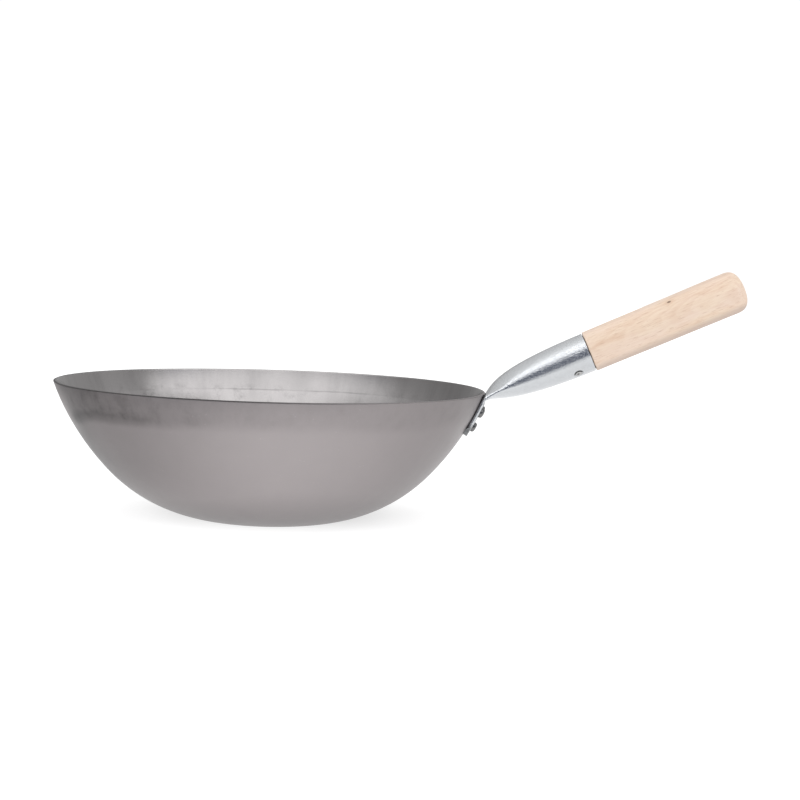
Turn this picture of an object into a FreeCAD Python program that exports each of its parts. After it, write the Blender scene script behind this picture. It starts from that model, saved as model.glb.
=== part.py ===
import FreeCAD, Part
import math
import os

# Carbon steel wok: a pressed bowl, a zinc-plated tube socket riveted to its
# wall, and a turned wooden grip nailed into the socket.
# Millimetres and degrees. The origin is the centre of the flat base's
# underside, +Z is up and the handle points along +X.

# Bowl
RIM_DIAMETER = 330.0
BOWL_DEPTH = 103.7
BASE_DIAMETER = 69.0
RIM_SLOPE = 69.0
WALL_FULLNESS = 1.35
BOWL_SHEET = 1.5
RIM_EDGE_ROUND = 0.3

# Socket: its axis passes HANDLE_ROOT_DROP below the rim and rises outwards.
# The hollow starts where the pinched walls part by HOLLOW_START, and the rolled
# sheet's seam stops SEAM_STOP short of the rim.
HANDLE_RISE = 24.8
HANDLE_ROOT_DROP = 1.3
SOCKET_LENGTH = 85.0
SOCKET_MOUTH_DIAMETER = 30.0
SOCKET_SHEET = 1.5
HOLLOW_START = 0.6
SEAM_WIDTH = 0.5
SEAM_STOP = 18.0

# Flattened end of the socket: neck and strap, lengths taken down the wall
NECK_DROP = 8.0
FOLD_RADIUS = 1.8
STRAP_DROP = 35.2
STRAP_WIDTH = 40.0
STRAP_CORNER = 12.0
STRAP_CORNER_LEAD = 1.0
STRAP_SEAT_GAP = 0.05
STRAP_SECTIONS = 5

# Pull of the four guide-curve handles, as shares of the socket length
TOP_NECK_PULL = 0.173
TOP_MOUTH_PULL = 0.87
BELLY_NECK_PULL = 0.145
BELLY_MOUTH_PULL = 1.03
SOCKET_SECTIONS = 16

# Rivets, drops taken down the wall from the rim
RIVET_SHANK_DIAMETER = 4.0
RIVET_HEAD_DIAMETER = 7.8
RIVET_HEAD_HEIGHT = 2.8
RIVET_EDGE_HEIGHT = 0.6
RIVET_TAIL_DIAMETER = 8.4
RIVET_TAIL_HEIGHT = 1.4
UPPER_RIVET_DROP = 14.1
UPPER_RIVET_SPACING = 22.0
LOWER_RIVET_DROP = 27.3
HOLE_CLEARANCE = 0.05

# Grip
GRIP_LENGTH = 126.2
GRIP_SHOULDER_DIAMETER = 31.3
GRIP_BUTT_DIAMETER = 32.3
GRIP_SHOULDER_ROUND = 1.0
GRIP_END_ROUND = 11.0
SHOULDER_GAP = 0.8
SPIGOT_LENGTH = 45.0
SPIGOT_TIP_DIAMETER = 23.2
SPIGOT_TIP_CHAMFER = 1.5
SPIGOT_CLEARANCE = 0.12

# Nail in its pressed dimple, turned from straight down towards -Y
NAIL_FROM_MOUTH = 13.2
NAIL_TURN = 37.0
NAIL_SHANK_DIAMETER = 1.8
NAIL_HEAD_DIAMETER = 4.8
NAIL_HEAD_HEIGHT = 1.0
NAIL_LENGTH = 15.0
NAIL_POINT_LENGTH = 3.0
DIMPLE_RADIUS = 5.0
DIMPLE_DEPTH = 1.2
POCKET_CLEARANCE = 0.4

# Fullness of every domed end, from the corner's pull on its curve
DOME_PULL = 0.7

V = FreeCAD.Vector
ORIGIN = V(0, 0, 0)
X_AXIS = V(1, 0, 0)
Y_AXIS = V(0, 1, 0)
Z_AXIS = V(0, 0, 1)

RIM_RADIUS = RIM_DIAMETER / 2
STRAP_THICKNESS = 2 * SOCKET_SHEET
SLOPE = math.radians(RIM_SLOPE)
RISE = math.radians(HANDLE_RISE)


def line(a, b):
    return Part.LineSegment(a, b).toShape()


def arc(a, b, c):
    return Part.Arc(a, b, c).toShape()


def dome(radius, start, top):
    """Half outline of a rounded end, upright at the side and flat on top."""
    side = V(radius, 0, start)
    side_pole = V(radius, 0, start + DOME_PULL * (top - start))
    top_pole = V(radius * DOME_PULL, 0, top)
    curve = Part.BezierCurve()
    curve.setPoles([side, side_pole, top_pole, V(0, 0, top)])
    return curve.toShape()


def face_of(edges):
    return Part.Face(Part.Wire(edges))


def lathe(edges):
    """Full turn of an XZ profile about the Z axis."""
    return face_of(edges).revolve(ORIGIN, Z_AXIS, 360)


def along(base, direction):
    """Placement that lays a Z-axis part along a direction at a base point."""
    return FreeCAD.Placement(base, FreeCAD.Rotation(Z_AXIS, direction))


def slope_normal(angle):
    """Outward normal of a wall that climbs at this angle in the XZ plane."""
    return V(math.sin(angle), 0, -math.cos(angle))


def slope_direction(angle):
    return V(math.cos(angle), 0, math.sin(angle))


def wall_arcs():
    """Two tangent arcs from the base edge to the rim.

    The foot's tangent is WALL_FULLNESS times the rim's, which fills the wall
    out at half height. Each is (centre, radius, start slope, end slope) of the
    outer face.
    """
    foot = V(BASE_DIAMETER / 2, 0, 0)
    rim = V(RIM_RADIUS, 0, BOWL_DEPTH)
    at_rim = slope_direction(SLOPE)
    chord = rim - foot
    both = X_AXIS * WALL_FULLNESS + at_rim
    spread = 2 * WALL_FULLNESS * (1 - math.cos(SLOPE))
    reach = chord.dot(both)
    rim_tangent = (math.sqrt(reach ** 2 + spread * chord.dot(chord)) - reach) / spread
    foot_tangent = WALL_FULLNESS * rim_tangent
    lower_corner = foot + X_AXIS * foot_tangent
    upper_corner = rim - at_rim * rim_tangent
    between = upper_corner - lower_corner
    middle = math.atan2(between.z, between.x)
    lower_radius = foot_tangent / math.tan(middle / 2)
    upper_radius = rim_tangent / math.tan((SLOPE - middle) / 2)
    lower = (foot + Z_AXIS * lower_radius, lower_radius, 0.0, middle)
    upper = (rim - slope_normal(SLOPE) * upper_radius, upper_radius, middle, SLOPE)
    return lower, upper


LOWER_WALL, UPPER_WALL = wall_arcs()


def wall_edge(wall, depth, upwards):
    """One wall arc at a depth inside the outer face."""
    centre, radius, start, end = wall
    angles = [start, (start + end) / 2, end]
    points = [centre + slope_normal(a) * (radius - depth) for a in angles]
    if not upwards:
        points.reverse()
    return arc(*points)


def wall_slope(drop):
    """Slope of the upper wall at a drop below the rim along the wall."""
    return SLOPE - drop / UPPER_WALL[1]


def wall_point(drop, stand_off):
    """Point off the wall's outer face, in the plane of the handle."""
    centre, radius = UPPER_WALL[:2]
    return centre + slope_normal(wall_slope(drop)) * (radius + stand_off)


def rim_edges(shell):
    top = BOWL_DEPTH - 2 * BOWL_SHEET
    return [e for e in shell.Edges if e.BoundBox.ZMin > top and e.isClosed()]


def bowl_shell():
    outside = [wall_edge(LOWER_WALL, 0, True), wall_edge(UPPER_WALL, 0, True)]
    inside = [wall_edge(UPPER_WALL, BOWL_SHEET, False), wall_edge(LOWER_WALL, BOWL_SHEET, False)]
    foot = outside[0].Vertexes[0].Point
    rim = outside[1].Vertexes[-1].Point
    lip = rim - slope_normal(SLOPE) * BOWL_SHEET
    floor = foot + Z_AXIS * BOWL_SHEET
    floor_centre = Z_AXIS * BOWL_SHEET
    profile = [line(ORIGIN, foot)] + outside + [line(rim, lip)] + inside
    profile += [line(floor, floor_centre), line(floor_centre, ORIGIN)]
    shell = lathe(profile)
    return shell.makeFillet(RIM_EDGE_ROUND, rim_edges(shell))


def rivet_places():
    """Node name, drop below the rim and sideways place of each rivet."""
    side = UPPER_RIVET_SPACING / 2
    return [
        ("upper_rivet_near", UPPER_RIVET_DROP, -side),
        ("upper_rivet_far", UPPER_RIVET_DROP, side),
        ("lower_rivet", LOWER_RIVET_DROP, 0.0),
    ]


def rivet_placement(drop, sideways):
    """Square to the wall, turned round the bowl to its sideways place."""
    base = wall_point(drop, 0)
    turn = math.degrees(math.asin(sideways / base.x))
    swing = FreeCAD.Placement(ORIGIN, FreeCAD.Rotation(Z_AXIS, turn))
    return swing.multiply(along(base, slope_normal(wall_slope(drop))))


def rivet_hole(drop, sideways):
    radius = RIVET_SHANK_DIAMETER / 2 + HOLE_CLEARANCE
    reach = 5 * (BOWL_SHEET + STRAP_THICKNESS)
    hole = Part.makeCylinder(radius, 2 * reach, Z_AXIS * -reach)
    hole.Placement = rivet_placement(drop, sideways)
    return hole


def drilled(shape):
    return shape.cut([rivet_hole(drop, sideways) for _, drop, sideways in rivet_places()])


def rivet_head(radius, height):
    """Pan head standing on z = 0: a short upright edge under a dome."""
    foot = V(radius, 0, 0)
    profile = [
        line(ORIGIN, foot),
        line(foot, V(radius, 0, RIVET_EDGE_HEIGHT)),
        dome(radius, RIVET_EDGE_HEIGHT, height),
        line(V(0, 0, height), ORIGIN),
    ]
    return lathe(profile)


def rivet(drop, sideways, bowl):
    """Shank with a head on the strap and a tail upset against the wall."""
    seat = STRAP_SEAT_GAP + STRAP_THICKNESS
    shank = Part.makeCylinder(RIVET_SHANK_DIAMETER / 2, seat + BOWL_SHEET, Z_AXIS * -BOWL_SHEET)
    head = rivet_head(RIVET_HEAD_DIAMETER / 2, RIVET_HEAD_HEIGHT)
    head.Placement = along(Z_AXIS * seat, Z_AXIS)
    tail = rivet_head(RIVET_TAIL_DIAMETER / 2, BOWL_SHEET / 2 + RIVET_TAIL_HEIGHT)
    tail.Placement = along(Z_AXIS * (-BOWL_SHEET / 2), Z_AXIS * -1)
    body = shank.fuse([head, tail])
    body.Placement = rivet_placement(drop, sideways)
    return body.cut(bowl).removeSplitter()


HANDLE_AXIS = slope_direction(RISE)
HANDLE_UP = slope_normal(RISE) * -1
HANDLE_ROOT = V(RIM_RADIUS, 0, BOWL_DEPTH - HANDLE_ROOT_DROP)
MOUTH = HANDLE_ROOT + HANDLE_AXIS * SOCKET_LENGTH


def guide(stand_off, neck_pull, mouth_pull, side):
    """Evenly spaced points of one side-view curve from strap to mouth."""
    start = wall_point(NECK_DROP, stand_off)
    wall_way = slope_direction(wall_slope(NECK_DROP))
    end = MOUTH + HANDLE_UP * (side * SOCKET_MOUTH_DIAMETER / 2)
    neck_pole = start + wall_way * (neck_pull * SOCKET_LENGTH)
    mouth_pole = end - HANDLE_AXIS * (mouth_pull * SOCKET_LENGTH)
    curve = Part.BezierCurve()
    curve.setPoles([start, neck_pole, mouth_pole, end])
    return curve.toShape().discretize(Number=SOCKET_SECTIONS)


def oval_arcs(half_height, half_width):
    """Lean of the joint between top and side arc, and the side arc's centre.

    The joint leans 45 degrees from the round mouth on, and turns upright
    towards the pinched neck, where the side arc keeps the fold's radius.
    """
    spare = half_width - half_height
    fold = min(half_height, FOLD_RADIUS)
    share = max(2 - math.sqrt(2), spare / (half_width - fold))
    lean = math.pi / 2 - 2 * math.atan(1 - share)
    return lean, spare / share


def curled(y, z, curl):
    """Flat section point after the section is bent to a curvature."""
    if curl == 0:
        return y, z
    reach = 1 / curl - z
    return reach * math.sin(y * curl), 1 / curl - reach * math.cos(y * curl)


def oval(top, bottom, half_width, inset, curl):
    """Section wire of four tangent arcs, set in by a wall thickness."""
    up = (top - bottom).normalize()
    centre = (top + bottom) * 0.5
    half_height = (top - bottom).Length / 2
    lean, side_centre = oval_arcs(half_height, half_width)
    bend = half_width - side_centre - inset
    across = side_centre + bend * math.cos(lean)
    rise = bend * math.sin(lean)
    tall = half_height - inset
    wide = half_width - inset

    def at(y, z):
        sideways, height = curled(y, z, curl)
        return centre + Y_AXIS * sideways + up * height

    corners = [at(-across, rise), at(across, rise), at(across, -rise), at(-across, -rise)]
    middles = [at(0, tall), at(wide, 0), at(0, -tall), at(-wide, 0)]
    return Part.Wire([arc(corners[i], middles[i], corners[(i + 1) % 4]) for i in range(4)])


def wall_curl(drop):
    """Curvature round the bowl of the middle of the seated strap."""
    around = wall_point(drop, 0).x / math.sin(wall_slope(drop))
    return 1 / (around + STRAP_SEAT_GAP + STRAP_THICKNESS / 2)


def section_sizes():
    """Top point, bottom point, half width and curl of every socket section."""
    top = guide(STRAP_SEAT_GAP, TOP_NECK_PULL, TOP_MOUTH_PULL, 1)
    belly = guide(STRAP_SEAT_GAP + STRAP_THICKNESS, BELLY_NECK_PULL, BELLY_MOUTH_PULL, -1)
    mouth = SOCKET_MOUTH_DIAMETER / 2
    flare = STRAP_WIDTH / 2 - mouth
    curl = wall_curl(NECK_DROP)
    sizes = []
    for i in range(SOCKET_SECTIONS):
        left = 1 - i / (SOCKET_SECTIONS - 1)
        sizes.append((top[i], belly[i], mouth + flare * left ** 2, curl * left ** 3))
    return sizes


def socket_skin():
    """Loft from the pinched neck to the round mouth."""
    wires = [oval(top, bottom, half, 0, curl) for top, bottom, half, curl in section_sizes()]
    return Part.makeLoft(wires, True, False)


def socket_cavity():
    """Hollow of the tube, one wall thickness in, open at the mouth."""
    sizes = section_sizes()
    roomy = [s for s in sizes if (s[0] - s[1]).Length > STRAP_THICKNESS + HOLLOW_START]
    wires = [oval(top, bottom, half, SOCKET_SHEET, curl) for top, bottom, half, curl in roomy]
    return Part.makeLoft(wires, True, False)


def strap_outline():
    """Block as wide as the strap with two rounded lower corners."""
    slope = wall_slope(STRAP_DROP)
    end = wall_point(STRAP_DROP, STRAP_SEAT_GAP + SOCKET_SHEET)
    up = slope_direction(slope)
    out = slope_normal(slope)
    side = STRAP_WIDTH / 2 + STRAP_CORNER_LEAD
    near = side - STRAP_CORNER
    bend = STRAP_CORNER * (1 - math.sqrt(0.5))

    def at(y, z):
        return end + Y_AXIS * y + up * z - out * (2 * STRAP_THICKNESS)

    edges = [
        line(at(-side, STRAP_DROP), at(-side, STRAP_CORNER)),
        arc(at(-side, STRAP_CORNER), at(bend - side, bend), at(-near, 0)),
        line(at(-near, 0), at(near, 0)),
        arc(at(near, 0), at(side - bend, bend), at(side, STRAP_CORNER)),
        line(at(side, STRAP_CORNER), at(side, STRAP_DROP)),
        line(at(side, STRAP_DROP), at(-side, STRAP_DROP)),
    ]
    return face_of(edges).extrude(out * (4 * STRAP_THICKNESS))


def strap_section(drop):
    inner = wall_point(drop, STRAP_SEAT_GAP)
    outer = wall_point(drop, STRAP_SEAT_GAP + STRAP_THICKNESS)
    return oval(inner, outer, STRAP_WIDTH / 2, 0, wall_curl(drop))


def strap():
    """Flat end of the tube, two sheets thick, bent to the wall both ways."""
    step = (STRAP_DROP + STRAP_CORNER_LEAD - NECK_DROP) / (STRAP_SECTIONS - 1)
    wires = [strap_section(NECK_DROP + step * i) for i in range(STRAP_SECTIONS)]
    return Part.makeLoft(wires, True, False).common(strap_outline())


def seam():
    """Slit where the rolled sheet's edges meet along the underside."""
    length = SOCKET_LENGTH - SEAM_STOP
    tall = SOCKET_MOUTH_DIAMETER * 7 / 8
    corner = V(-length, -SEAM_WIDTH / 2, -SOCKET_MOUTH_DIAMETER)
    slit = Part.makeBox(length + 1, SEAM_WIDTH, tall, corner)
    slit.Placement = FreeCAD.Placement(MOUTH, FreeCAD.Rotation(Y_AXIS, -HANDLE_RISE))
    return slit


def nail_outward():
    turn = math.radians(NAIL_TURN)
    return HANDLE_UP * -math.cos(turn) - Y_AXIS * math.sin(turn)


def nail_seat(height):
    """Point on the nail's line at a height over the dimple's floor."""
    floor = SOCKET_MOUTH_DIAMETER / 2 - DIMPLE_DEPTH
    return MOUTH - HANDLE_AXIS * NAIL_FROM_MOUTH + nail_outward() * (floor + height)


def dimple_ball(thickness):
    """Ball that presses the dimple, or its far face a thickness deeper."""
    return Part.makeSphere(DIMPLE_RADIUS + thickness, nail_seat(DIMPLE_RADIUS))


def nail_hole():
    radius = NAIL_SHANK_DIAMETER / 2 + HOLE_CLEARANCE
    hole = Part.makeCylinder(radius, NAIL_LENGTH + 1)
    hole.Placement = along(nail_seat(0.5), nail_outward() * -1)
    return hole


def dimple_pocket():
    """Round pocket in the spigot that clears the dimple's inner face."""
    ball = DIMPLE_RADIUS + SOCKET_SHEET
    bulge = math.sqrt(ball ** 2 - (ball - DIMPLE_DEPTH) ** 2)
    depth = SOCKET_SHEET + SPIGOT_CLEARANCE
    pocket = Part.makeCylinder(bulge + POCKET_CLEARANCE, depth + 2 * DIMPLE_DEPTH)
    pocket.Placement = along(nail_seat(-depth), nail_outward())
    return pocket


def handle_socket():
    skin = socket_skin()
    bulge = dimple_ball(SOCKET_SHEET).common(skin)
    tube = skin.cut(socket_cavity()).fuse(bulge)
    tube = tube.cut([dimple_ball(0), nail_hole(), seam()])
    return drilled(tube.fuse(strap())).removeSplitter()


def grip_profile():
    """Half outline from the spigot's tip to the crowned butt."""
    spigot = SOCKET_MOUTH_DIAMETER / 2 - SOCKET_SHEET - SPIGOT_CLEARANCE
    tip = SPIGOT_TIP_DIAMETER / 2
    shoulder = GRIP_SHOULDER_DIAMETER / 2
    butt = GRIP_BUTT_DIAMETER / 2
    end_start = GRIP_LENGTH - GRIP_END_ROUND
    soft = GRIP_SHOULDER_ROUND
    bend = soft * (1 - math.sqrt(0.5))
    foot = V(0, 0, -SPIGOT_LENGTH)
    chamfer_low = V(tip - SPIGOT_TIP_CHAMFER, 0, -SPIGOT_LENGTH)
    chamfer_high = V(tip, 0, SPIGOT_TIP_CHAMFER - SPIGOT_LENGTH)
    root = V(spigot, 0, SHOULDER_GAP)
    ledge = V(shoulder - soft, 0, SHOULDER_GAP)
    ledge_bend = V(shoulder - bend, 0, SHOULDER_GAP + bend)
    ledge_end = V(shoulder, 0, SHOULDER_GAP + soft)
    top = V(0, 0, GRIP_LENGTH)
    return [
        line(foot, chamfer_low),
        line(chamfer_low, chamfer_high),
        line(chamfer_high, root),
        line(root, ledge),
        arc(ledge, ledge_bend, ledge_end),
        line(ledge_end, V(butt, 0, end_start)),
        dome(butt, end_start, GRIP_LENGTH),
        line(top, foot),
    ]


def wooden_grip():
    body = lathe(grip_profile())
    body.Placement = along(MOUTH, HANDLE_AXIS)
    return body.cut(dimple_pocket()).cut(nail_hole())


def grip_nail(socket):
    shank_radius = NAIL_SHANK_DIAMETER / 2
    straight = NAIL_LENGTH - NAIL_POINT_LENGTH
    head = Part.makeCylinder(NAIL_HEAD_DIAMETER / 2, NAIL_HEAD_HEIGHT, Z_AXIS * -NAIL_HEAD_HEIGHT)
    shank = Part.makeCylinder(shank_radius, straight)
    point = Part.makeCone(shank_radius, shank_radius / 6, NAIL_POINT_LENGTH, Z_AXIS * straight)
    nail = head.fuse([shank, point])
    nail.Placement = along(nail_seat(0), nail_outward() * -1)
    return nail.cut(socket).removeSplitter()


def pieces():
    bowl = drilled(bowl_shell())
    socket = handle_socket()
    named = {
        "wok_bowl": bowl,
        "handle_socket": socket,
        "wooden_grip": wooden_grip(),
        "grip_nail": grip_nail(socket),
    }
    for name, drop, sideways in rivet_places():
        named[name] = rivet(drop, sideways, bowl)
    return named


os.makedirs("parts", exist_ok=True)
for node, shape in pieces().items():
    shape.exportStep("parts/" + node + ".step")
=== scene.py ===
import math

import bpy
from mathutils import Matrix, Vector, noise


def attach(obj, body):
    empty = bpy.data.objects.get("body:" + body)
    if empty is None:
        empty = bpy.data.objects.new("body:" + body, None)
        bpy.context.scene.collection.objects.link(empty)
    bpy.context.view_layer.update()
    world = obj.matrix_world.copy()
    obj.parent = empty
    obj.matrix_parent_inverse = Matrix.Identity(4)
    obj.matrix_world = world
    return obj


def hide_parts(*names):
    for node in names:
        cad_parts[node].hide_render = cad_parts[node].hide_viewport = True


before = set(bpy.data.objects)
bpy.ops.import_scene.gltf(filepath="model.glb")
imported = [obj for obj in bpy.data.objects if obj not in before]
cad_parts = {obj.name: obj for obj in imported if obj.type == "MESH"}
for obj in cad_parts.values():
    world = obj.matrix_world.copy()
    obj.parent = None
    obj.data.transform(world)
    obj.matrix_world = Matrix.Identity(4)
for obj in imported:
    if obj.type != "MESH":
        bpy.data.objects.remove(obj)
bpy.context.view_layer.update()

# Bowl, in metres: the base stands on z = 0 and the handle points along +X.
RIM_RADIUS = 0.165
BOWL_DEPTH = 0.1037
BASE_RADIUS = 0.0345
RIM_SLOPE = math.radians(69.0)
WALL_FULLNESS = 1.35
SHEET = 0.0015
RIM_EDGE_ROUND = 0.0003

# Band under the rim that leans in: its width, half the length of its bend, and its lean.
HELD_BAND = 0.0172
HELD_SOFT = 0.0022
HELD_TILT = math.radians(0.9)

# Handle: the mouth is the middle of the socket's open end.
HANDLE_RISE = math.radians(24.8)
MOUTH = Vector((0.242161, 0.0, 0.138053))
GRIP_LENGTH = 0.1262
GRIP_SHOULDER = 0.01565
GRIP_BUTT = 0.01615
GRIP_END_ROUND = 0.0110
DOME_PULL = 0.7
SHOULDER_GAP = 0.0008
SHOULDER_ROUND = 0.0010
SHOULDER_LEDGE = 0.0005
SPIGOT_ROOT = 0.01338
SPIGOT_TIP = 0.0116
SPIGOT_LENGTH = 0.0450
SPIGOT_CHAMFER = 0.0015

# Hand sanding of the grip: heights in metres, waves per metre.
SANDED_HEIGHT = 0.00010
SANDED_ACROSS = 70
SANDED_ALONG = 25
RAGGED_HEIGHT = 0.00035
RAGGED_SINK = 0.0001
RAGGED_REACH = 0.004
RAGGED_WAVES = 220
RAGGED_START = (5.0, 3.0)

# Places on the handle: x runs from the mouth to the butt, and z is up.
KNOT = (0.0695, -0.0100, 0.0124)
NAIL_SEAT = (-0.0132, -0.0084, -0.0112)
NAIL_ABOVE = (0.0, -0.799, 0.602)
NAIL_MARK = (-0.0136, -0.0087, -0.0120)

# Steps of the meshes.
BOWL_SEGMENTS = 288
FLOOR_STRIPS = 8
LOWER_STEPS = 36
UPPER_STEPS = 64
CORNER_STEPS = 4
GRIP_SEGMENTS = 160
SPIGOT_STEPS = 8
SHOULDER_STEPS = 6
GRIP_STEPS = 71
BUTT_STEPS = 24
ON_AXIS = 1e-7
TOUCH = 1e-6

# Camera: place in metres, turn in degrees, lens and sensor in millimetres.
CAMERA_PLACE = (0.16899139, -1.28361703, 0.20196522)
CAMERA_TURN = (85.27228933, -2.00211172, 3.25207208)
CAMERA_LENS = 75.56
SENSOR_WIDTH = 36.0
NEAR_CLIP = 0.01
TOWARDS_CAMERA = Vector((CAMERA_PLACE[0], CAMERA_PLACE[1], 0.0)).normalized()


# Shader nodes

# Sockets of the mix node, which has one set for colours and one for plain values.
COLOUR_A, COLOUR_B, COLOUR_OUT = 6, 7, 2
VALUE_A, VALUE_B, VALUE_OUT = 2, 3, 0


class Shader:
    """Short calls for building one node tree."""

    def __init__(self, tree):
        self.tree = tree

    def node(self, kind, inputs, **settings):
        made = self.tree.nodes.new(kind)
        for key, value in settings.items():
            setattr(made, key, value)
        self.fill(made, inputs)
        return made

    def fill(self, node, inputs):
        for key, value in inputs.items():
            socket = node.inputs[key]
            if isinstance(value, bpy.types.NodeSocket):
                self.tree.links.new(value, socket)
            else:
                socket.default_value = value

    def source(self, kind, output):
        return self.node(kind, {}).outputs[output]

    def place(self):
        return self.source("ShaderNodeTexCoord", "Object")

    def math(self, operation, *values, clamp=False):
        made = self.node("ShaderNodeMath", dict(enumerate(values)), operation=operation, use_clamp=clamp)
        return made.outputs[0]

    def times(self, a, b):
        return self.math("MULTIPLY", a, b)

    def plus(self, a, b):
        return self.math("ADD", a, b)

    def minus(self, a, b):
        return self.math("SUBTRACT", a, b)

    def scaled(self, value, factor, base, clamp=False):
        """A value times a factor, added to a base."""
        return self.math("MULTIPLY_ADD", value, factor, base, clamp=clamp)

    def vector(self, operation, *values):
        made = self.node("ShaderNodeVectorMath", dict(enumerate(values)), operation=operation)
        plain = operation in ("DOT_PRODUCT", "LENGTH")
        return made.outputs["Value" if plain else "Vector"]

    def step(self, value, low, high, to_low=0.0, to_high=1.0):
        """Smooth step of a value from low to high."""
        inputs = {"Value": value, "From Min": low, "From Max": high, "To Min": to_low, "To Max": to_high}
        made = self.node("ShaderNodeMapRange", inputs, interpolation_type="SMOOTHSTEP")
        return made.outputs["Result"]

    def between(self, value, rise, fall):
        """1 between a rising edge and a falling one."""
        return self.times(self.step(value, *rise), self.step(value, *fall))

    def mix(self, share, a, b):
        """Colour between two colours."""
        inputs = {"Factor": share, COLOUR_A: a, COLOUR_B: b}
        return self.node("ShaderNodeMix", inputs, data_type="RGBA").outputs[COLOUR_OUT]

    def lerp(self, share, a, b):
        """Value between two values."""
        inputs = {"Factor": share, VALUE_A: a, VALUE_B: b}
        return self.node("ShaderNodeMix", inputs, data_type="FLOAT").outputs[VALUE_OUT]

    def noise(self, vector, scale, detail=3.0, rough=0.5, distortion=0.0):
        inputs = {"Vector": vector, "Scale": scale, "Detail": detail}
        inputs.update({"Roughness": rough, "Distortion": distortion})
        return self.node("ShaderNodeTexNoise", inputs).outputs["Fac"]

    def sway(self, vector, scale, detail, rough):
        """Noise about zero."""
        return self.minus(self.noise(vector, scale, detail, rough), 0.5)

    def cells(self, vector, scale, output):
        return self.node("ShaderNodeTexVoronoi", {"Vector": vector, "Scale": scale}).outputs[output]

    def stretch(self, vector, scale, turn=(0.0, 0.0, 0.0), shift=(0.0, 0.0, 0.0)):
        inputs = {"Vector": vector, "Location": shift, "Rotation": turn, "Scale": scale}
        return self.node("ShaderNodeMapping", inputs).outputs["Vector"]

    def split(self, vector):
        return self.node("ShaderNodeSeparateXYZ", {"Vector": vector}).outputs

    def join(self, x, y, z):
        return self.node("ShaderNodeCombineXYZ", {"X": x, "Y": y, "Z": z}).outputs["Vector"]

    def bump(self, height, distance, strength=1.0):
        inputs = {"Height": height, "Distance": distance, "Strength": strength}
        return self.node("ShaderNodeBump", inputs).outputs["Normal"]

    def tinted(self, tone, tint):
        """Colour from a tone and a constant tint."""
        red, green, blue = (self.times(tone, part) for part in tint)
        inputs = {"Red": red, "Green": green, "Blue": blue}
        return self.node("ShaderNodeCombineColor", inputs).outputs["Color"]


def material(name):
    """A new material, its shader calls and its main shader."""
    made = bpy.data.materials.new(name)
    made.use_nodes = True
    return made, Shader(made.node_tree), made.node_tree.nodes["Principled BSDF"]


# Bare sheet of the bowl

WHITE = (1.0, 1.0, 1.0, 1.0)
PLAIN_TINT = (1.0, 1.0, 1.0)
STEEL_TINT = (1.058, 0.975, 0.981)
INSIDE_TINT = (1.025, 0.988, 0.988)
SHEET_GLANCE = (0.86, 0.86, 0.86, 1.0)

# Middle tone and spread of each face, and the clouds, mottle and grain that make up the spread.
OUTSIDE_TONE = (0.286, 0.022)
INSIDE_TONE = (0.268, 0.03)
SHEET_GRAIN = ((11.0, 3.0, 0.55, 1.0), (60.0, 4.0, 0.6, 0.55), (1100.0, 2.0, 0.6, 0.45))
SHEET_RELIEF = 0.00004
EDGE_RELIEF = 0.00008

# Fades over the sheet: where each starts and ends, in metres, then its levels there.
FLOOR_TO_WALL = (0.055, 0.120)
NEAR_SIDE = (0.09, -0.05, 0.35, 1.0)
BAND_WANDER = 0.008
BAND_RISE = (-0.105, -0.150, 0.0, 0.0060)
BAND_EDGE = (0.0800, 0.0885)
BAND_LEFT = (0.06, -0.12, 0.36, 1.0)
BAND_END = (-0.161, -0.138, 0.25, 1.0)
RUB_BELOW = (0.0790, 0.0835)
RUB_ABOVE = (0.0925, 0.0860)
RUB_LEFT = (-0.03, -0.12, 0.0, 0.17)
# Painted shade on the outside: the side away from the handle, by the handle, the left and the foot.
END_SHADE = (-0.115, -0.163, 0.0, 0.36)
END_SHADE_TOP = (0.092, 0.080)
HANDLE_SHADE = (0.100, 0.160, 0.0, 0.05)
LEFT_SHADE = (0.03, -0.14, 0.0, 0.36)
SHADE_LOW = (0.012, 0.055, 0.30, 1.0)
FOOT_SHADE = (0.040, 0.002, 0.0, 0.24)
STRIP_END = (-0.136, -0.160)
STRIP_LOW = (0.066, 0.082)
LINE_WANDER = 0.0022
LINE_BELOW = (0.0868, 0.0874)
LINE_ABOVE = (0.0884, 0.0877)
LINE_LEFT = (-0.10, -0.04, 0.15, 1.0)
LINE_RIGHT = (0.095, 0.050, 0.12, 1.0)
UNDER_LINE = (0.0876, 0.0862)
STAIN_TOP = (0.0945, 0.087)
STAIN_SIDE = (0.02, -0.07, 0.35, 1.0)
STAIN_LOW = (0.040, 0.078, 0.40, 1.0)
# Painted light and shade inside: lighter away from the handle, darker towards it.
PAINTED_INSIDE_LIGHT = ((-0.045, -0.115, 1.0, 1.13), (0.015, 0.070, 1.0, 0.90), (-0.130, -0.158, 1.0, 1.28))
EDGE_TONE = (-0.02, 0.12, 0.07, 0.26)


def round_wall(s, place):
    """Places round the wall at the rim's radius, and a mask: 1 on the wall, 0 on the flat floor."""
    x, y, _ = s.split(place)
    level = s.join(x, y, 0.0)
    ring = s.vector("MULTIPLY", s.vector("NORMALIZE", level), (RIM_RADIUS, RIM_RADIUS, RIM_RADIUS))
    return ring, s.step(s.vector("LENGTH", level), *FLOOR_TO_WALL)


def upright(s, place, ring, squeeze):
    """Places round the wall with their height squeezed."""
    x, y, _ = s.split(ring)
    return s.join(x, y, s.times(s.split(place)[2], squeeze))


def sheet_relief(s, place, ring, wall):
    """Fine drawn lines round the wall over an even grain."""
    lines = s.noise(upright(s, place, ring, 12.0), 150.0, 3.0, 0.6)
    fine = s.noise(place, 1500.0, 2.0, 0.5)
    relief = s.scaled(s.times(lines, wall), 0.5, s.times(fine, 0.5))
    return s.bump(relief, SHEET_RELIEF)


def sheet_tone(s, place, middle, spread):
    """Base tone of the bare sheet."""
    tone = middle
    for scale, detail, rough, share in SHEET_GRAIN:
        tone = s.scaled(s.sway(place, scale, detail, rough), share * spread, tone)
    return tone


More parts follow.
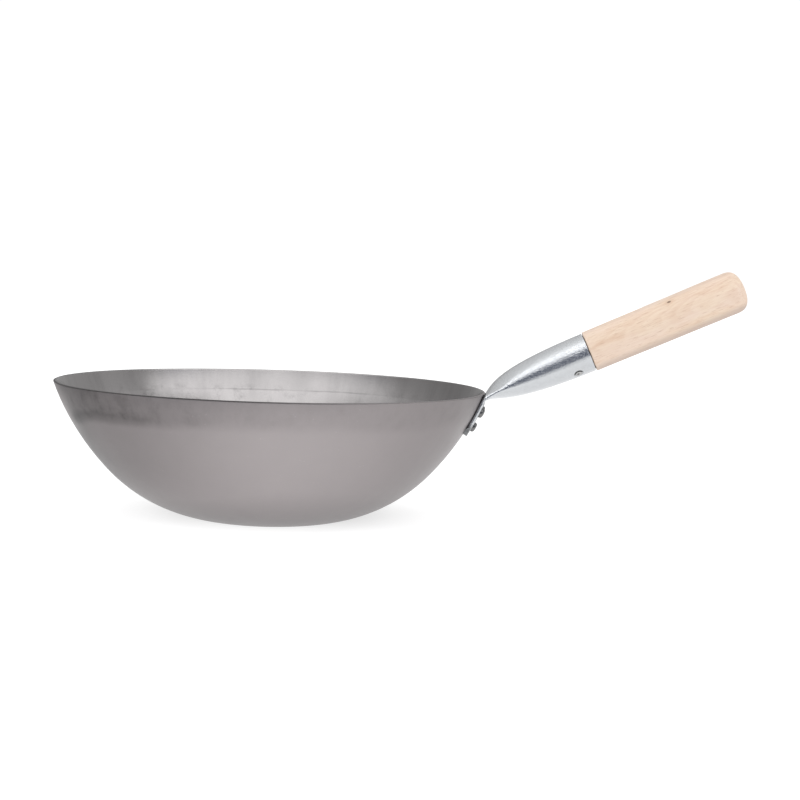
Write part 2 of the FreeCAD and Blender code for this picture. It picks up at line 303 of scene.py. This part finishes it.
def held_band(s, place, ring, near):
    """Band under the rim where the sheet was held while it was pressed: its mask and its darkness."""
    x, _, z = s.split(place)
    end = s.split(ring)[0]
    height = s.scaled(s.sway(place, 30.0, 3.0, 0.55), BAND_WANDER, z)
    height = s.plus(height, s.step(end, *BAND_RISE))
    held = s.times(s.step(height, *BAND_EDGE), s.times(s.step(x, *BAND_LEFT), near))
    held = s.times(held, s.step(end, *BAND_END))
    smears = s.step(s.noise(upright(s, place, ring, 0.60), 130.0, 5.0, 0.65), 0.42, 0.72)
    stains = s.step(s.noise(place, 62.0, 5.0, 0.65), 0.44, 0.70)
    dark = s.scaled(smears, 0.08, s.scaled(stains, 0.11, 0.150))
    # Its lower edge is darkest on the side away from the handle.
    rub = s.times(s.between(height, RUB_BELOW, RUB_ABOVE), s.step(x, *RUB_LEFT))
    return held, s.scaled(held, dark, s.times(rub, near))


def painted_shade_sides(s, place, end, near):
    """Painted shade: the sheet is greyer on the side away from the handle, by the handle, and at the
    foot.
    """
    x, _, z = s.split(place)
    ends = s.times(s.step(end, *END_SHADE), s.step(z, *END_SHADE_TOP))
    ends = s.plus(ends, s.step(end, *HANDLE_SHADE))
    shaded = s.times(s.plus(s.step(x, *LEFT_SHADE), ends), near)
    shaded = s.times(shaded, s.step(z, *SHADE_LOW))
    return s.math("MAXIMUM", shaded, s.step(z, *FOOT_SHADE))


def steel_outside():
    made, s, main = material("carbon_steel_outside")
    place = s.place()
    _, y, z = s.split(place)
    ring, wall = round_wall(s, place)
    end = s.split(ring)[0]
    near = s.step(y, *NEAR_SIDE)
    held, dark = held_band(s, place, ring, near)
    # The band's darkness, with the painted shade of the sides added.
    dark = s.plus(dark, painted_shade_sides(s, place, end, near))
    # A lighter strip of the band on the side opposite the handle.
    strip = s.times(s.step(end, *STRIP_END), s.step(z, *STRIP_LOW))
    dark = s.times(dark, s.minus(1.0, strip))
    tone = s.times(sheet_tone(s, place, *OUTSIDE_TONE), s.minus(1.0, dark))
    tone = s.times(tone, s.scaled(strip, 0.30, 1.0))
    dots = s.step(s.cells(place, 260.0, "Distance"), 0.14, 0.06)
    specks = s.times(dots, s.step(s.noise(place, 40.0), 0.52, 0.62))
    tone = s.scaled(specks, 0.045, tone)
    rough = s.scaled(s.noise(place, 70.0, 4.0, 0.6), 0.10, 0.31)
    s.fill(main, {
        "Base Color": s.tinted(tone, STEEL_TINT),
        "Roughness": s.scaled(held, 0.04, rough),
        "Metallic": 1.0,
        "Specular Tint": SHEET_GLANCE,
        "Normal": sheet_relief(s, place, ring, wall),
    })
    return made


def pressing_line(s, place, tone):
    """Tone with the thin mark left by the edge of the pressing ring, a little lighter below it."""
    x, _, z = s.split(place)
    height = s.scaled(s.sway(place, 18.0, 3.0, 0.6), LINE_WANDER, z)
    line = s.times(s.between(height, LINE_BELOW, LINE_ABOVE), s.step(x, *LINE_LEFT))
    line = s.times(line, s.step(x, *LINE_RIGHT))
    broken = s.step(s.noise(place, 35.0, 3.0, 0.6), 0.35, 0.6, 0.25, 1.0)
    tone = s.scaled(s.times(line, broken), -0.055, tone)
    return s.scaled(s.step(height, *UNDER_LINE), 0.014, tone)


def steel_inside():
    made, s, main = material("carbon_steel_inside")
    place = s.place()
    x, _, z = s.split(place)
    ring, wall = round_wall(s, place)
    tone = sheet_tone(s, place, *INSIDE_TONE)
    # Smears run up the wall, and swirls lie on the floor.
    smears = s.step(s.noise(upright(s, place, ring, 0.25), 42.0, 5.0, 0.62), 0.38, 0.72)
    tone = s.scaled(s.times(smears, wall), -0.040, tone)
    swirls = s.step(s.noise(place, 38.0, 5.0, 0.62, 0.6), 0.38, 0.72)
    tone = s.scaled(s.times(swirls, s.minus(1.0, wall)), -0.025, tone)
    # Painted light and shade: lighter towards the side away from the handle, darker towards the handle.
    for shade in PAINTED_INSIDE_LIGHT:
        tone = s.times(tone, s.step(x, *shade))
    tone = pressing_line(s, place, tone)
    stains = s.step(s.noise(place, 75.0, 5.0, 0.65), 0.50, 0.72)
    stained = s.times(s.step(z, *STAIN_TOP), s.step(x, *STAIN_SIDE))
    stained = s.times(stained, s.step(z, *STAIN_LOW))
    tone = s.scaled(s.times(stains, stained), -0.075, tone)
    s.fill(main, {
        "Base Color": s.tinted(tone, INSIDE_TINT),
        "Roughness": s.scaled(s.noise(place, 80.0, 4.0, 0.6), 0.10, 0.16),
        "Metallic": 1.0,
        "Normal": sheet_relief(s, place, ring, wall),
    })
    return made


def steel_edge():
    made, s, main = material("carbon_steel_cut_edge")
    place = s.place()
    nicks = s.noise(place, 400.0, 4.0, 0.6)
    tone = s.scaled(s.minus(nicks, 0.5), 0.08, s.step(s.split(place)[0], *EDGE_TONE))
    s.fill(main, {
        "Base Color": s.tinted(tone, STEEL_TINT),
        "Roughness": s.scaled(nicks, 0.2, 0.38),
        "Metallic": 1.0,
        "Normal": s.bump(nicks, EDGE_RELIEF),
    })
    return made


# Metal of the handle

ZINC_TONE = 0.580
ZINC_TINT = (0.975, 1.0, 1.03)
ZINC_GRAIN = 1150.0
ZINC_RELIEF = 0.00030

# Fades over the plating, in metres from the nail or in the part's frame.
# Painted shade in the groove round the nail's head.
GROOVE_INNER = (0.0021, 0.0025)
GROOVE_OUTER = (0.0043, 0.0034)
GROOVE_SHADE_SIDE = (-0.0006, 0.0016, 0.25, 0.92)
# Painted shade at the lower end of the strap: its cut edges and its down-facing tip.
STRAP_SIDE = (0.0150, 0.0178)
STRAP_LOW = (0.0825, 0.0765)
STRAP_TIP = (0.0800, 0.0765)

# Fades by how far the surface faces up.
TIP_SHADE_FACING = (-0.35, -0.75)
SMOOTHER_BELOW = (-0.12, 0.05, 0.16, 1.0)

# Tone and grain of the rivets and the nail, and the punch mark on the nail's head.
RIVET_TONE = 0.18
RIVET_GRAIN = 260.0
NAIL_TONE = 0.46
NAIL_GRAIN = 500.0
NAIL_MARK_DARK = 0.75
NAIL_MARK_EDGE = (0.0006, 0.0013)
FASTENER_RELIEF = 0.00006


def handle_space(s):
    """Coordinates with x along the handle from the socket's mouth."""
    shift = Matrix.Rotation(HANDLE_RISE, 3, "Y") @ MOUTH
    return s.stretch(s.place(), (1.0, 1.0, 1.0), (0.0, HANDLE_RISE, 0.0), tuple(-shift))


def zinc_plate():
    made, s, main = material("zinc_plated_socket")
    place = s.place()
    axial = handle_space(s)
    grain = s.split(s.cells(place, ZINC_GRAIN, "Color"))[0]
    clouds = s.noise(place, 90.0, 4.0, 0.6)
    tone = s.scaled(s.minus(clouds, 0.5), 0.08, s.scaled(grain, 0.05, ZINC_TONE))
    # Painted shade in the groove round the nail's head, darkest on its upper side.
    from_nail = s.vector("SUBTRACT", axial, NAIL_SEAT)
    groove_shade = s.between(s.vector("LENGTH", from_nail), GROOVE_INNER, GROOVE_OUTER)
    groove_shade = s.times(groove_shade, s.step(s.vector("DOT_PRODUCT", from_nail, NAIL_ABOVE), *GROOVE_SHADE_SIDE))
    tone = s.times(tone, s.minus(1.0, groove_shade))
    # Painted shade on the cut edges at the lower end of the strap and on its down-facing tip.
    _, across, up = s.split(place)
    facing_up = s.split(s.source("ShaderNodeNewGeometry", "Normal"))[2]
    sides = s.times(s.step(s.math("ABSOLUTE", across), *STRAP_SIDE), s.step(up, *STRAP_LOW))
    shaded_tip = s.times(s.step(facing_up, *TIP_SHADE_FACING), s.step(up, *STRAP_TIP))
    tone = s.times(tone, s.scaled(s.math("MAXIMUM", sides, shaded_tip), -0.72, 1.0))
    # Drawn lines over a pebbled plating.
    lines = s.noise(s.stretch(axial, (0.06, 1.0, 1.0)), 900.0, 3.0, 0.6)
    relief = s.scaled(lines, 0.2, s.noise(place, ZINC_GRAIN, 3.0, 0.6))
    s.fill(main, {
        "Base Color": s.tinted(tone, ZINC_TINT),
        "Roughness": s.scaled(clouds, 0.06, s.scaled(grain, 0.07, 0.160)),
        "Metallic": 1.0,
        "Normal": s.bump(relief, ZINC_RELIEF, s.step(facing_up, *SMOOTHER_BELOW)),
    })
    return made


def dark_steel(name, middle, scale, mark=0.0):
    """Worn steel of a fastener; the mark darkens a spot near the middle of the nail's head."""
    made, s, main = material(name)
    place = s.place()
    fine = s.noise(place, 5 * scale, 3.0, 0.6)
    tone = s.scaled(s.sway(place, scale, 4.0, 0.6), 0.16, middle)
    from_mark = s.vector("LENGTH", s.vector("SUBTRACT", handle_space(s), NAIL_MARK))
    tone = s.times(tone, s.step(from_mark, *NAIL_MARK_EDGE, 1.0 - mark, 1.0))
    s.fill(main, {
        "Base Color": s.tinted(tone, PLAIN_TINT),
        "Roughness": s.scaled(fine, 0.18, 0.23),
        "Metallic": 1.0,
        "Normal": s.bump(fine, FASTENER_RELIEF),
    })
    return made


# Wood of the grip

WOOD_ROSE = (0.876, 0.700, 0.570, 1.0)
WOOD_CREAM = (0.882, 0.716, 0.564, 1.0)
WOOD_DARK = (0.715, 0.480, 0.330, 1.0)
PORE_BROWN = (0.58, 0.36, 0.23, 1.0)
JOINT_SHADE = (0.16, 0.10, 0.065, 1.0)
TOP_GREY = (0.590, 0.470, 0.395, 1.0)
UNDERSIDE_SHADE = (0.480, 0.375, 0.315, 1.0)
HALO_BROWN = (0.66, 0.42, 0.27, 1.0)
HEART_BROWN = (0.16, 0.085, 0.05, 1.0)
WOOD_RELIEF = 0.00008

# Growth rings: the pith's y and z, the slope of the cones, their waves in metres, and rings per metre.
PITH = (0.020, 0.003)
RING_CONE = 0.10
RING_WAVE = 0.0065
RINGS_PER_METRE = 620.0
RING_RISE = (0.0, 0.8)
RING_FALL = (1.0, 0.84)
STREAK_LEAN = math.radians(-9.0)

# Fades over the grip, in metres in the handle's space or from the knot.
JOINT_EDGE = (0.0007, 0.0003)
GRIP_TOP = (0.0132, 0.0157, 0.0, 0.30)
GRIP_UNDER = (-0.0085, -0.0155, 0.0, 0.80)
KNOT_STRETCH = (0.62, 1.0, 1.0)
KNOT_WAVE = 0.002
KNOT_HALO = (0.0042, 0.0008, 0.0, 0.38)
KNOT_HEART = (0.00125, 0.0006, 0.0, 0.85)


def grained(s, axial, along, across, detail, rough, lean=0.0):
    """Noise drawn out along the grip, with its waves per metre along and across it."""
    drawn = s.stretch(axial, (along, across, across), (0.0, lean, 0.0))
    return s.noise(drawn, 1.0, detail, rough)


def growth_rings(s, axial, wave):
    """Flat-sawn growth rings: cones about a pith behind the grip."""
    x, y, z = s.split(axial)
    from_pith = s.join(0.0, s.minus(y, PITH[0]), s.minus(z, PITH[1]))
    radius = s.scaled(x, RING_CONE, s.vector("LENGTH", from_pith))
    radius = s.scaled(wave, RING_WAVE, radius)
    return s.between(s.math("FRACT", s.times(radius, RINGS_PER_METRE)), RING_RISE, RING_FALL)


def pale_wood():
    made, s, main = material("pale_grip_wood")
    axial = handle_space(s)
    x, _, z = s.split(axial)
    wave = s.minus(grained(s, axial, 16.0, 55.0, 3.0, 0.5), 0.5)
    figure = s.step(grained(s, axial, 22.0, 70.0, 2.0, 0.5), 0.36, 0.66)
    rings = s.times(growth_rings(s, axial, wave), figure)
    fibre = grained(s, axial, 60.0, 620.0, 5.0, 0.65)
    streaks = s.step(grained(s, axial, 34.0, 190.0, 5.0, 0.65, STREAK_LEAN), 0.50, 0.76)
    clouds = s.minus(grained(s, axial, 18.0, 40.0, 2.0, 0.5), 0.5)
    pores = s.step(grained(s, axial, 150.0, 1500.0, 2.0, 0.5), 0.58, 0.72)
    dark = s.scaled(streaks, 0.50, s.scaled(rings, 0.22, 0.06))
    dark = s.scaled(clouds, 0.6, dark)
    dark = s.scaled(s.minus(fibre, 0.5), 0.95, dark, clamp=True)
    hue = s.step(grained(s, axial, 26.0, 75.0, 3.0, 0.55), 0.40, 0.62)
    colour = s.mix(dark, s.mix(hue, WOOD_ROSE, WOOD_CREAM), WOOD_DARK)
    colour = s.mix(s.times(pores, 0.50), colour, PORE_BROWN)
    # Painted shade inside the joint with the socket.
    colour = s.mix(s.step(x, *JOINT_EDGE), colour, JOINT_SHADE)
    # Greyer along the top, and painted shade along the underside.
    colour = s.mix(s.step(z, *GRIP_TOP), colour, TOP_GREY)
    colour = s.mix(s.step(z, *GRIP_UNDER), colour, UNDERSIDE_SHADE)
    # Pin knot on the upper near side.
    knot = s.vector("LENGTH", s.stretch(s.vector("SUBTRACT", axial, KNOT), KNOT_STRETCH))
    colour = s.mix(s.step(s.scaled(wave, KNOT_WAVE, knot), *KNOT_HALO), colour, HALO_BROWN)
    colour = s.mix(s.step(knot, *KNOT_HEART), colour, HEART_BROWN)
    s.fill(main, {
        "Base Color": colour,
        "Roughness": s.scaled(fibre, 0.16, 0.50),
        "Normal": s.bump(s.scaled(pores, -0.6, fibre), WOOD_RELIEF),
    })
    return made


# Meshes

OUTSIDE, INSIDE, EDGE = 0, 1, 2


def lathe(name, profile, zones, materials, segments):
    """Turn (radius, height) points about Z; each strip takes its zone's material."""
    points, faces, marks, rings = [], [], [], []
    for radius, height in profile:
        if radius < ON_AXIS:
            rings.append([len(points)])
            points.append((0.0, 0.0, height))
            continue
        rings.append(list(range(len(points), len(points) + segments)))
        for k in range(segments):
            angle = 2 * math.pi * k / segments
            points.append((radius * math.cos(angle), radius * math.sin(angle), height))
    for low, high, zone in zip(rings, rings[1:], zones):
        for k in range(segments):
            n = (k + 1) % segments
            if len(low) == 1:
                faces.append((low[0], high[n], high[k]))
            elif len(high) == 1:
                faces.append((low[k], low[n], high[0]))
            else:
                faces.append((low[k], low[n], high[n], high[k]))
            marks.append(zone)
    mesh = bpy.data.meshes.new(name)
    mesh.from_pydata(points, [], faces)
    for one in materials:
        mesh.materials.append(one)
    mesh.polygons.foreach_set("material_index", marks)
    mesh.polygons.foreach_set("use_smooth", [True] * len(faces))
    mesh.validate()
    mesh.update()
    made = bpy.data.objects.new(name, mesh)
    bpy.context.collection.objects.link(made)
    return made


def wall_arcs():
    """Two tangent arcs from the base edge to the rim: centre, radius, slopes."""
    foot = Vector((BASE_RADIUS, 0.0))
    rim = Vector((RIM_RADIUS, BOWL_DEPTH))
    at_foot = Vector((1.0, 0.0))
    at_rim = Vector((math.cos(RIM_SLOPE), math.sin(RIM_SLOPE)))
    chord = rim - foot
    reach = chord.dot(at_foot * WALL_FULLNESS + at_rim)
    spread = 2 * WALL_FULLNESS * (1 - math.cos(RIM_SLOPE))
    rim_tangent = (math.sqrt(reach ** 2 + spread * chord.dot(chord)) - reach) / spread
    foot_tangent = WALL_FULLNESS * rim_tangent
    between = (rim - at_rim * rim_tangent) - (foot + at_foot * foot_tangent)
    middle = math.atan2(between.y, between.x)
    lower = foot_tangent / math.tan(middle / 2)
    upper = rim_tangent / math.tan((RIM_SLOPE - middle) / 2)
    out = Vector((math.sin(RIM_SLOPE), -math.cos(RIM_SLOPE)))
    lower_arc = (foot + Vector((0.0, lower)), lower, 0.0, middle)
    upper_arc = (rim - out * upper, upper, middle, RIM_SLOPE)
    return lower_arc, upper_arc


def held_shift(drop):
    """Inward lean of the band under the rim, eased in over a soft bend."""
    into = HELD_BAND - drop
    if into <= -HELD_SOFT:
        return 0.0
    if into < HELD_SOFT:
        return HELD_TILT * (into + HELD_SOFT) ** 2 / (4 * HELD_SOFT)
    return HELD_TILT * into


def wall_line(depth):
    """Points of one face of the wall, from the base edge up to the rim."""
    points = []
    lower, upper = wall_arcs()
    for arc, steps, skip in ((lower, LOWER_STEPS, 0), (upper, UPPER_STEPS, 1)):
        centre, radius, start, end = arc
        for i in range(skip, steps + 1):
            slope = start + (end - start) * i / steps
            drop = upper[1] * (RIM_SLOPE - slope)
            out = Vector((math.sin(slope), -math.cos(slope)))
            points.append(centre + out * (radius - depth - held_shift(drop)))
    return points


def bowl_profile():
    """Closed half section of the bowl and the material zone of each strip."""
    outside = wall_line(0.0)
    inside = wall_line(SHEET)
    inside.reverse()
    along = (outside[-1] - outside[-2]).normalized()
    across = (inside[0] - outside[-1]).normalized()
    rim = []
    for corner, before, after in ((outside[-1], -along, across), (inside[0], -across, -along)):
        centre = corner + (before + after) * RIM_EDGE_ROUND
        for i in range(CORNER_STEPS + 1):
            turn = math.pi / 2 * i / CORNER_STEPS
            out = after * math.cos(turn) + before * math.sin(turn)
            rim.append(centre - out * RIM_EDGE_ROUND)
    outside[-1] = rim[0]
    inside[0] = rim[-1]
    floor = [Vector((BASE_RADIUS * i / FLOOR_STRIPS, 0.0)) for i in range(FLOOR_STRIPS)]
    inner_floor = [point + Vector((0.0, SHEET)) for point in reversed(floor)]
    profile = floor + outside + rim[1:-1] + inside + inner_floor
    zones = [OUTSIDE] * (len(floor) + len(outside) - 1) + [EDGE] * (len(rim) - 1)
    zones += [INSIDE] * (len(profile) - 1 - len(zones))
    return profile, zones


def wok_bowl():
    profile, zones = bowl_profile()
    materials = [steel_outside(), steel_inside(), steel_edge()]
    bowl = lathe("pressed_bowl", profile, zones, materials, BOWL_SEGMENTS)
    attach(bowl, "root")
    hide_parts("wok_bowl")


def grip_profile():
    """Half section of the grip along its axis, from the spigot's tip to the butt."""
    points = [(0.0, -SPIGOT_LENGTH), (SPIGOT_TIP - SPIGOT_CHAMFER, -SPIGOT_LENGTH)]
    for i in range(SPIGOT_STEPS):
        share = i / SPIGOT_STEPS
        radius = SPIGOT_TIP + (SPIGOT_ROOT - SPIGOT_TIP) * share
        points.append((radius, SPIGOT_CHAMFER - SPIGOT_LENGTH * (1 - share)))
    points += [(SPIGOT_ROOT, SHOULDER_GAP), (SPIGOT_ROOT + SHOULDER_LEDGE, SHOULDER_GAP)]
    for i in range(SHOULDER_STEPS + 1):
        turn = math.pi / 2 * i / SHOULDER_STEPS
        radius = GRIP_SHOULDER - SHOULDER_ROUND * (1 - math.sin(turn))
        points.append((radius, SHOULDER_GAP + SHOULDER_ROUND * (1 - math.cos(turn))))
    start = SHOULDER_GAP + SHOULDER_ROUND
    end = GRIP_LENGTH - GRIP_END_ROUND
    for i in range(1, GRIP_STEPS):
        share = i / GRIP_STEPS
        radius = GRIP_SHOULDER + (GRIP_BUTT - GRIP_SHOULDER) * share
        points.append((radius, start + (end - start) * share))
    crown = Vector((0.0, GRIP_LENGTH))
    side = Vector((GRIP_BUTT, end))
    side_pull = Vector((0.0, GRIP_END_ROUND * DOME_PULL))
    crown_pull = Vector((GRIP_BUTT * DOME_PULL, 0.0))
    poles = (side, side + side_pull, crown + crown_pull, crown)
    for i in range(BUTT_STEPS + 1):
        t = i / BUTT_STEPS
        shares = ((1 - t) ** 3, 3 * t * (1 - t) ** 2, 3 * t * t * (1 - t), t ** 3)
        points.append(sum((pole * share for pole, share in zip(poles, shares)), Vector((0.0, 0.0))))
    return points


def worn(point):
    """Hand-sanded grip: slight waviness, and an uneven shoulder at the socket."""
    x, y, along = point
    if along < SHOULDER_GAP - TOUCH:
        return point
    moved = point.copy()
    out = Vector((x, y, 0.0))
    if out.length > TOUCH:
        wave = noise.noise(Vector((x * SANDED_ACROSS, y * SANDED_ACROSS, along * SANDED_ALONG)))
        ease = min(1.0, max(0.0, (GRIP_LENGTH - along) / GRIP_END_ROUND))
        moved += out.normalized() * (wave * SANDED_HEIGHT * ease)
    near = max(0.0, 1.0 - (along - SHOULDER_GAP) / RAGGED_REACH)
    place = Vector((x * RAGGED_WAVES + RAGGED_START[0], y * RAGGED_WAVES, RAGGED_START[1]))
    moved.z += near * (RAGGED_HEIGHT * noise.noise(place) - RAGGED_SINK)
    return moved


def wooden_grip():
    profile = grip_profile()
    grip = lathe("turned_grip", profile, [0] * (len(profile) - 1), [pale_wood()], GRIP_SEGMENTS)
    lay = Matrix.Translation(MOUTH) @ Matrix.Rotation(math.pi / 2 - HANDLE_RISE, 4, "Y")
    for vertex in grip.data.vertices:
        vertex.co = lay @ worn(vertex.co)
    grip.data.update()
    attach(grip, "root")
    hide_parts("wooden_grip")


def dress(node, made):
    """Give a CAD node its finished material."""
    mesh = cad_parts[node].data
    for i in range(len(mesh.materials)):
        mesh.materials[i] = made


# Studio

TABLE_MIDDLE = (0.0, 0.08)
TABLE_RADIUS = 0.41
FLOOR_REACH = 8.0
FLOOR_SIDES = 128
SIDE_TABLE = ((0.285, -0.24), (0.325, -0.65), (0.80, -0.65), (0.80, 0.30), (0.285, 0.30))
SIDE_TABLE_LIFT = 0.0002
FLOOR_TONE = 0.34
FLOOR_ROUGHNESS = 0.9

# Glow of the floor, and its painted pools of light and painted shadows: middle, reach and change.
FLOOR_GLOW = 0.86
FLOOR_LIGHT_AND_SHADOWS = (
    ((0.03, -0.17), (0.24, 0.17), 0.28),
    ((-0.36, 0.00), (0.19, 0.26), -0.22),
    ((0.00, 0.05), (0.14, 0.13), -0.40),
    ((0.40, 0.00), (0.32, 0.36), -0.19),
)

# Levels of the light: the room's by facing and by height, the upper parts', the box's and the backdrop's.
FRONT_FADE = (0.20, 0.60)
BACK_FADE = (0.25, -0.35)
SIDE_LIGHT = (0.20, 0.40, 1.30, 0.52)
BACK_LIGHT = (0.25, 0.60, 0.50, 0.90)
ROOM_LIGHT = 0.16
ROOM_TOP = (0.56, 0.44)
ROOM_TINT = (0.84, 0.94, 1.23, 1.0)
UPPER_EDGE = (0.50, 0.64)
UPPER_LIGHT = 0.80
TOP_EDGE = (0.82, 0.93)
TOP_LIGHT = 1.10
BOX_LIGHT = 2.35
BACKDROP_LIGHT = 1.05

# Soft box: its level direction, its lower and upper edge, and how it narrows upwards.
TOWARDS_BOX = (0.2250, -0.9744, 0.0)
LEFT_OF_BOX = (TOWARDS_BOX[1], -TOWARDS_BOX[0], 0.0)
BOX_LOW = (0.46, 0.61)
BOX_HIGH = (0.95, 0.86)
BOX_NARROWING = (0.57, 0.83, 0.06, 0.68)
BOX_HALVES = (-0.10, 0.10)
BOX_RIGHT_EDGE = (0.0, 0.20)
BOX_LEFT_EDGE = (-0.60, 0.36)


def patch(s, place, middle, reach):
    """Soft round patch on the floor, 1 in its middle and 0 at its reach."""
    x, y, _ = s.split(place)
    across = s.math("DIVIDE", s.minus(x, middle[0]), reach[0])
    along = s.math("DIVIDE", s.minus(y, middle[1]), reach[1])
    return s.step(s.vector("LENGTH", s.join(across, along, 0.0)), 1.0, 0.0)


def floor_look():
    made, s, main = material("pale_floor")
    place = s.place()
    tone = s.scaled(s.noise(place, 3.0, 2.0, 0.5), 0.02, FLOOR_TONE)
    glow = FLOOR_GLOW
    # Painted pools of light and painted shadows in the floor's glow.
    for middle, reach, change in FLOOR_LIGHT_AND_SHADOWS:
        glow = s.scaled(patch(s, place, middle, reach), change, glow)
    s.fill(main, {
        "Base Color": s.tinted(tone, PLAIN_TINT),
        "Roughness": FLOOR_ROUGHNESS,
        "Specular IOR Level": 0.0,
        "Emission Color": WHITE,
        "Emission Strength": glow,
    })
    return made


def table_circle(radius):
    """Points of a circle on the floor about the table's middle."""
    x, y = TABLE_MIDDLE
    turns = [2 * math.pi * k / FLOOR_SIDES for k in range(FLOOR_SIDES)]
    return [(x + radius * math.cos(turn), y + radius * math.sin(turn), 0.0) for turn in turns]


def floor_piece(name, points, faces, look):
    mesh = bpy.data.meshes.new(name)
    mesh.from_pydata(points, [], faces)
    mesh.materials.append(look)
    made = bpy.data.objects.new(name, mesh)
    bpy.context.collection.objects.link(made)
    return made


def studio_floor():
    """A white table top; the floor past it stays out of mirror reflections."""
    look = floor_look()
    table = table_circle(TABLE_RADIUS)
    floor_piece("studio_table", table, [tuple(range(FLOOR_SIDES))], look)
    corners = [(x, y, SIDE_TABLE_LIFT) for x, y in SIDE_TABLE]
    floor_piece("studio_side_table", corners, [tuple(range(len(corners)))], look)
    faces = []
    for k in range(FLOOR_SIDES):
        n = (k + 1) % FLOOR_SIDES
        faces.append((k, k + FLOOR_SIDES, n + FLOOR_SIDES, n))
    rest = floor_piece("studio_floor", table + table_circle(FLOOR_REACH), faces, look)
    rest.visible_glossy = False


def soft_box(s, level_way, up):
    """Mask of the box, which is 1 inside; its left half has the softer edge."""
    facing = s.vector("DOT_PRODUCT", level_way, TOWARDS_BOX)
    within = s.minus(facing, s.step(up, *BOX_NARROWING))
    left = s.step(s.vector("DOT_PRODUCT", level_way, LEFT_OF_BOX), *BOX_HALVES)
    sides = s.lerp(left, s.step(within, *BOX_RIGHT_EDGE), s.step(within, *BOX_LEFT_EDGE))
    return s.times(s.between(up, BOX_LOW, BOX_HIGH), sides)


def studio_light():
    """A soft box over the camera, side fill, and a dim room behind the camera."""
    world = bpy.data.worlds.new("studio")
    bpy.context.scene.world = world
    world.use_nodes = True
    s = Shader(world.node_tree)
    x, y, up = s.split(s.source("ShaderNodeTexCoord", "Generated"))
    level_way = s.vector("NORMALIZE", s.join(x, y, 0.0))
    facing = s.vector("DOT_PRODUCT", level_way, TOWARDS_CAMERA)
    front = s.step(facing, *FRONT_FADE)
    back = s.step(facing, *BACK_FADE)
    low = s.lerp(back, s.step(up, *SIDE_LIGHT), s.step(up, *BACK_LIGHT))
    low = s.lerp(front, low, ROOM_LIGHT)
    light = s.lerp(s.step(up, *UPPER_EDGE), low, UPPER_LIGHT)
    light = s.lerp(s.step(up, *TOP_EDGE), light, TOP_LIGHT)
    light = s.lerp(soft_box(s, level_way, up), light, BOX_LIGHT)
    seen = s.source("ShaderNodeLightPath", "Is Camera Ray")
    room = s.times(front, s.step(up, *ROOM_TOP))
    room = s.times(room, s.minus(1.0, seen))
    s.fill(world.node_tree.nodes["Background"], {
        "Strength": s.lerp(seen, light, BACKDROP_LIGHT),
        "Color": s.mix(room, WHITE, ROOM_TINT),
    })


def studio_camera():
    data = bpy.data.cameras.new("photo_camera")
    data.lens = CAMERA_LENS
    data.sensor_width = SENSOR_WIDTH
    data.clip_start = NEAR_CLIP
    camera = bpy.data.objects.new("photo_camera", data)
    camera.location = CAMERA_PLACE
    camera.rotation_euler = [math.radians(turn) for turn in CAMERA_TURN]
    bpy.context.collection.objects.link(camera)
    bpy.context.scene.camera = camera


wok_bowl()
dress("handle_socket", zinc_plate())
rivet_look = dark_steel("rivet_steel_worn", RIVET_TONE, RIVET_GRAIN)
for rivet in ("upper_rivet_near", "upper_rivet_far", "lower_rivet"):
    dress(rivet, rivet_look)
dress("grip_nail", dark_steel("nail_steel", NAIL_TONE, NAIL_GRAIN, NAIL_MARK_DARK))
wooden_grip()
studio_floor()
studio_light()
studio_camera()
bpy.context.scene.view_settings.view_transform = "Standard"
bpy.context.scene.view_settings.look = "None"
